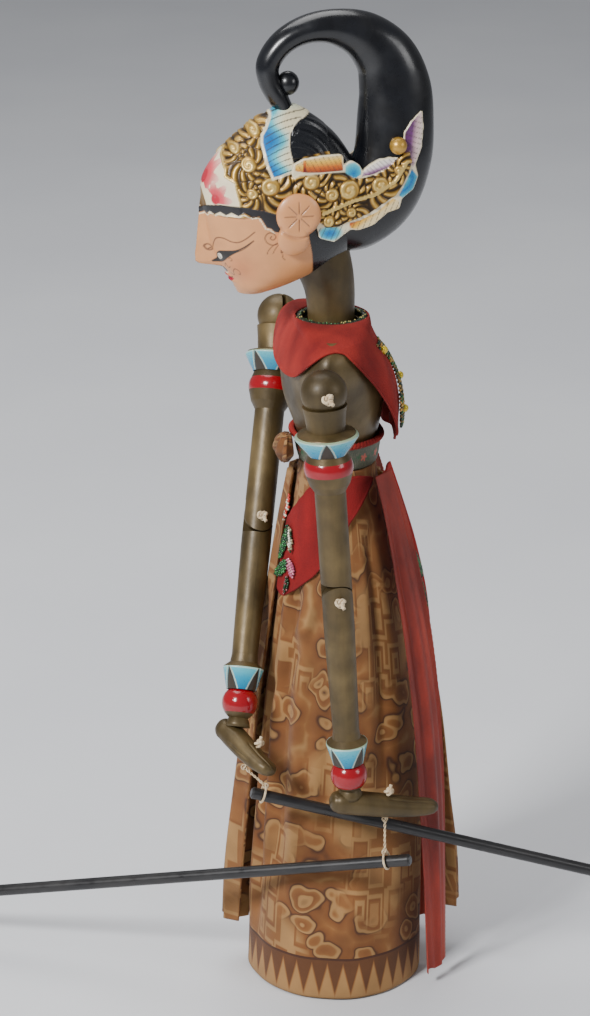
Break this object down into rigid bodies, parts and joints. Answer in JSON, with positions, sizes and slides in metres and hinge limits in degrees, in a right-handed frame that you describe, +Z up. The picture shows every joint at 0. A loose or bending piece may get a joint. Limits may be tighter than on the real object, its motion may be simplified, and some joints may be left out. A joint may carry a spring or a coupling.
{
  "type": "wayang golek rod puppet",
  "caption": "Carved wooden rod puppet on a central rod and stand, with a turning head, corded swinging arms on hand rods and a cloth skirt.",
  "frame": {"origin": "centre of the stand's flat underside, on the central rod's axis", "axes": "+Z up along the central rod, the puppet faces -Y, its own left side is +X"},
  "size_m": [0.2365, 0.7527, 0.6307],
  "materials": {
    "stand_wood": "oiled",
    "rod_wood": "hand-smoothed",
    "face_paint": "satin paint on carved wood",
    "hair_lacquer": "gloss lacquer on carved wood",
    "gilding": "gold paint",
    "body_bronze": "worn bronze paint on carved wood",
    "velvet_red": "velvet",
    "velvet_dark_red": "velvet",
    "braid": "woven braid",
    "beads_gold": "beads and sequins",
    "beads_green": "beads",
    "batik": "printed cotton",
    "satin_ribbon": "satin",
    "cotton_cord": "twisted cotton",
    "black_rod": "black satin paint"
  },
  "bodies": {
    "stand": {"stand_base": "stand_wood"},
    "central_rod": {"central_rod": "rod_wood"},
    "head": {"head": "face_paint", "hair_crest": "hair_lacquer", "wing_left": "gilding", "wing_right": "gilding"},
    "torso": {"torso": "body_bronze", "vest": "velvet_red", "neck_trim": "braid", "back_beads": "beads_gold", "waist_belt": "braid", "belt_piping": "velvet_red", "sarong": "batik", "waist_bunch": "batik", "wrap_front_end": "batik", "wrap_back_end": "batik", "hip_cloth": "velvet_dark_red", "hip_beads": "beads_green", "back_flap": "velvet_red", "flap_beads": "beads_green", "ribbon_left": "satin_ribbon", "ribbon_right": "satin_ribbon"},
    "shoulder_tie_left": {"shoulder_cord_left": "cotton_cord"},
    "upper_arm_left": {"upper_arm_left": "body_bronze", "shoulder_knot_left": "cotton_cord", "elbow_cord_left": "cotton_cord"},
    "upper_arm_right": {"upper_arm_right": "body_bronze", "shoulder_cord_right": "cotton_cord", "shoulder_knot_right": "cotton_cord", "elbow_cord_right": "cotton_cord"},
    "forearm_left": {"forearm_left": "body_bronze"},
    "hand_left": {"hand_left": "body_bronze", "hand_cord_left": "cotton_cord"},
    "rod_string_left": {"rod_string_left": "cotton_cord"},
    "arm_rod_left": {"arm_rod_left": "black_rod", "rod_ring_left": "cotton_cord"},
    "forearm_right": {"forearm_right": "body_bronze"},
    "hand_right": {"hand_right": "body_bronze", "hand_cord_right": "cotton_cord"},
    "rod_string_right": {"rod_string_right": "cotton_cord"},
    "arm_rod_right": {"arm_rod_right": "black_rod", "rod_ring_right": "cotton_cord"}
  },
  "joints": [
    {"name": "puppet_lift", "type": "slide", "parent": "stand", "child": "central_rod", "axis": [0, 0, 1], "range_m": [0, 0.1]},
    {"name": "head_turn", "type": "hinge", "parent": "central_rod", "child": "head", "pos_m": [0, 0, 0.46], "axis": [0, 0, 1], "continuous": true},
    {"name": "torso_slide", "type": "slide", "parent": "central_rod", "child": "torso", "axis": [0, 0, 1], "range_m": [0, 0.008]},
    {"name": "shoulder_swing_left", "type": "hinge", "parent": "torso", "child": "shoulder_tie_left", "pos_m": [0.083, -0.019, 0.418], "axis": [-1, 0, 0], "range_deg": [0, 45]},
    {"name": "shoulder_raise_left", "type": "hinge", "parent": "shoulder_tie_left", "child": "upper_arm_left", "pos_m": [0.083, -0.019, 0.418], "axis": [0, -0.998, -0.0628], "range_deg": [0, 80]},
    {"name": "elbow_bend_left", "type": "hinge", "parent": "upper_arm_left", "child": "forearm_left", "pos_m": [0.083, -0.01077, 0.28726], "axis": [-1, 0, 0], "range_deg": [0, 90]},
    {"name": "wrist_turn_left", "type": "hinge", "parent": "forearm_left", "child": "hand_left", "pos_m": [0.083, -0.00267, 0.15851], "axis": [0, -0.0628, 0.998], "range_deg": [0, 35]},
    {"name": "string_hang_left", "type": "hinge", "parent": "hand_left", "child": "rod_string_left", "pos_m": [0.083, 0.01953, 0.13699], "axis": [-1, 0, 0], "range_deg": [-45, 0]},
    {"name": "rod_pitch_left", "type": "hinge", "parent": "rod_string_left", "child": "arm_rod_left", "pos_m": [0.08253, 0.01968, 0.11367], "axis": [-1, 0, 0], "range_deg": [-90, 0]},
    {"name": "shoulder_swing_right", "type": "hinge", "parent": "torso", "child": "upper_arm_right", "pos_m": [-0.083, -0.019, 0.418], "axis": [-1, 0, 0], "range_deg": [0, 20]},
    {"name": "elbow_bend_right", "type": "hinge", "parent": "upper_arm_right", "child": "forearm_right", "pos_m": [-0.02636, -0.04196, 0.30213], "axis": [-0.9017, -0.0841, -0.4242], "range_deg": [0, 10]},
    {"name": "wrist_turn_right", "type": "hinge", "parent": "forearm_right", "child": "hand_right", "pos_m": [0.02942, -0.06458, 0.18804], "axis": [0.4324, -0.1753, -0.8845], "range_deg": [0, 4]},
    {"name": "string_hang_right", "type": "hinge", "parent": "hand_right", "child": "rod_string_right", "pos_m": [0.04846, -0.06393, 0.16348], "axis": [-1, 0, 0], "range_deg": [-20, 0]},
    {"name": "rod_pitch_right", "type": "hinge", "parent": "rod_string_right", "child": "arm_rod_right", "pos_m": [0.058, -0.05185, 0.15384], "axis": [-0.9017, -0.0841, -0.4242], "range_deg": [-10, 0]}
  ],
  "couplings": [
    {"joint": "string_hang_left", "follows": "shoulder_swing_left", "ratio": -1},
    {"joint": "rod_pitch_left", "follows": "elbow_bend_left", "ratio": -1},
    {"joint": "string_hang_right", "follows": "shoulder_swing_right", "ratio": -1},
    {"joint": "rod_pitch_right", "follows": "elbow_bend_right", "ratio": -1}
  ]
}
